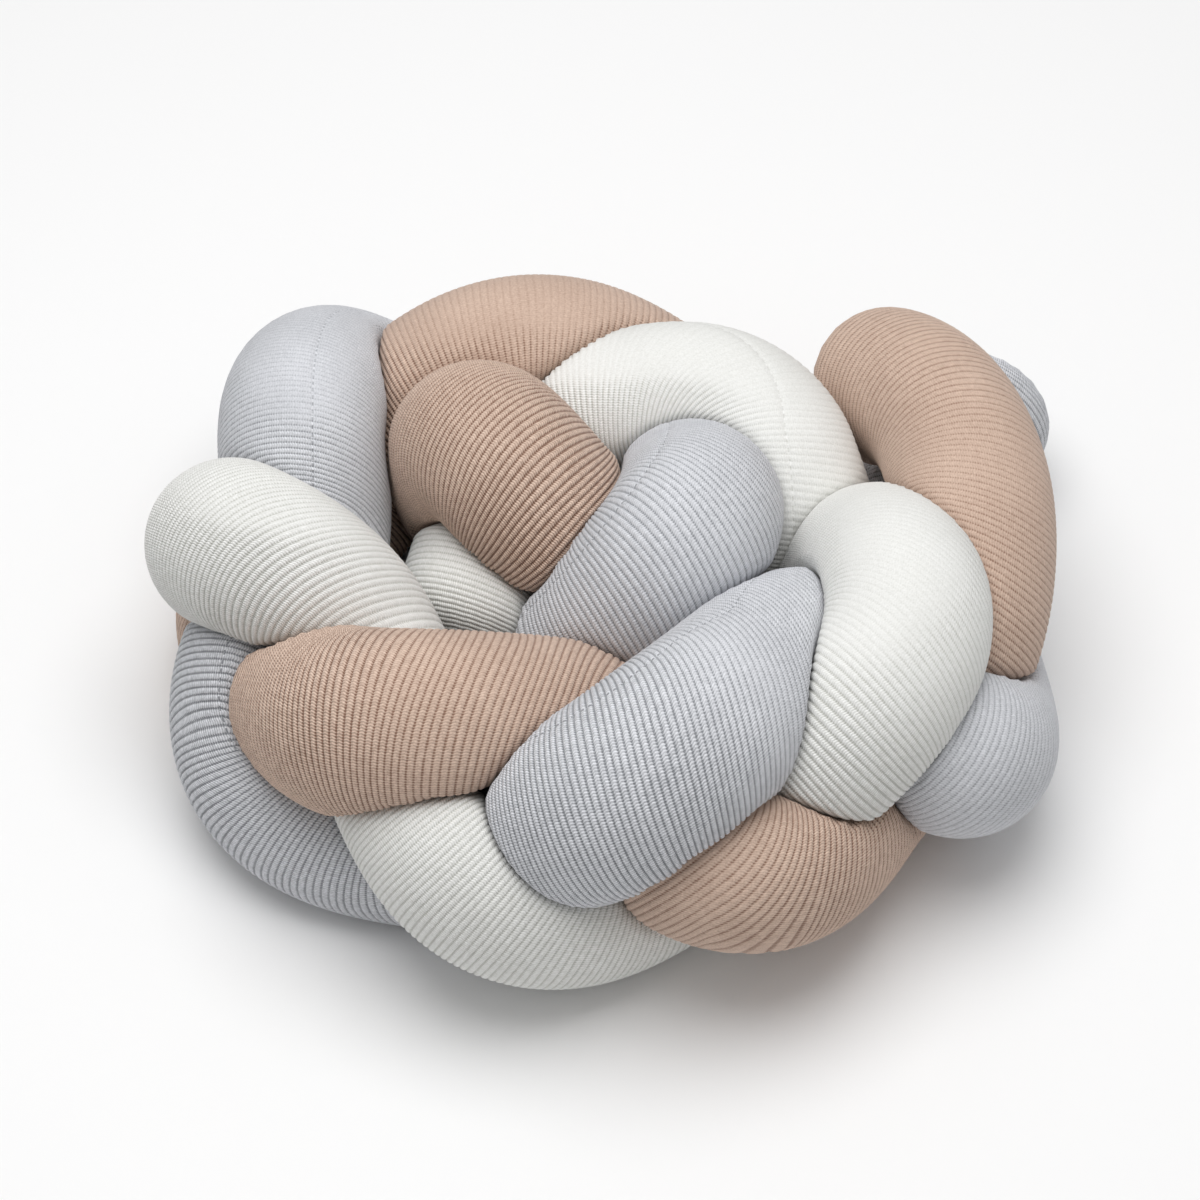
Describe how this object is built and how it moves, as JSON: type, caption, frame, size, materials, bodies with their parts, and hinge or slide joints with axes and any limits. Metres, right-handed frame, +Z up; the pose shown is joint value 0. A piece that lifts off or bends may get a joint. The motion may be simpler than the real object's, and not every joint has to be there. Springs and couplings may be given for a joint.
{
  "type": "braided crib bumper",
  "caption": "Long stuffed rib-knit tubes in white, grey and tan, plaited into a soft crib bumper and laid as a low spiral pile.",
  "frame": {"origin": "middle of the pile's footprint, on the surface it rests on", "axes": "+X to the right as seen in front, +Y to the back, +Z up"},
  "size_m": [0.5044, 0.4546, 0.2109],
  "materials": {
    "white_knit": "fine rib knit, off-white",
    "grey_knit": "fine rib knit, light cool grey",
    "tan_knit": "fine rib knit, warm tan"
  },
  "bodies": {
    "root": {"white_strand": "white_knit", "grey_strand": "grey_knit", "tan_strand": "tan_knit"}
  },
  "joints": []
}
